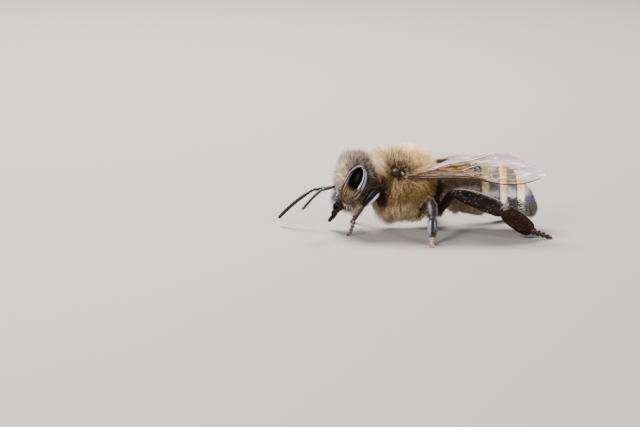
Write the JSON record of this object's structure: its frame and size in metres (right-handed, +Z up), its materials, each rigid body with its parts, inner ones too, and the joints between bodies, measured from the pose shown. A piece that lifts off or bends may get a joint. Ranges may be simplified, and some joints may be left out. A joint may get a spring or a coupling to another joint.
{
  "type": "honey bee",
  "caption": "Honey bee worker standing on its feet: furry head and thorax, banded abdomen, clear folded wings, large dark eyes and bent feelers.",
  "frame": {"origin": "middle of the model's outline on the floor it stands on", "axes": "+X towards the tail, the head faces -X; +Y towards the bee's right side; +Z up"},
  "size_m": [0.017, 0.0108, 0.0053],
  "materials": {
    "head_fur": "short soft hair, greyish buff on the crown and cream on the face",
    "thorax_fur": "dense soft hair, tan to golden, paler underneath",
    "abdomen": "satin black-brown plates with cream bands of short hair",
    "shell": "glossy black-brown horn",
    "eye": "glossy black with a fine grain of facets",
    "antenna": "black-brown, slightly glossy",
    "mouthparts": "dark reddish brown, glossy",
    "leg": "dark brown to black, glossy, with short pale hairs",
    "tarsus": "brown to pale brown, slightly glossy",
    "wing": "clear membrane with an ivory sheen and orange-brown veins"
  },
  "bodies": {
    "root": {"leg_front_left_coxa": "leg", "leg_front_left_femur": "leg", "leg_front_left_tibia": "leg", "leg_front_left_basitarsus": "leg", "leg_front_left_tarsus": "tarsus", "leg_middle_left_coxa": "leg", "leg_middle_left_femur": "leg", "leg_middle_left_tibia": "leg", "leg_middle_left_basitarsus": "leg", "leg_middle_left_tarsus": "tarsus", "leg_hind_left_coxa": "leg", "leg_hind_left_femur": "leg", "leg_hind_left_tibia": "leg", "leg_hind_left_basitarsus": "leg", "leg_hind_left_tarsus": "tarsus", "leg_front_right_coxa": "leg", "leg_front_right_femur": "leg", "leg_front_right_tibia": "leg", "leg_front_right_basitarsus": "leg", "leg_front_right_tarsus": "tarsus", "leg_middle_right_coxa": "leg", "leg_middle_right_femur": "leg", "leg_middle_right_tibia": "leg", "leg_middle_right_basitarsus": "leg", "leg_middle_right_tarsus": "tarsus", "leg_hind_right_coxa": "leg", "leg_hind_right_femur": "leg", "leg_hind_right_tibia": "leg", "leg_hind_right_basitarsus": "leg", "leg_hind_right_tarsus": "tarsus", "antenna_left_scape": "antenna", "antenna_left_flagellum": "antenna", "eye_left": "eye", "mandible_left": "mouthparts", "tegula_left": "shell", "forewing_left": "wing", "hindwing_left": "wing", "antenna_right_scape": "antenna", "antenna_right_flagellum": "antenna", "eye_right": "eye", "mandible_right": "mouthparts", "tegula_right": "shell", "forewing_right": "wing", "hindwing_right": "wing", "proboscis": "mouthparts", "neck": "shell", "petiole": "shell", "thorax": "thorax_fur", "head": "head_fur", "abdomen_1": "abdomen", "abdomen_2": "abdomen", "abdomen_3": "abdomen", "abdomen_4": "abdomen", "abdomen_5": "abdomen", "abdomen_6": "abdomen"}
  },
  "joints": []
}
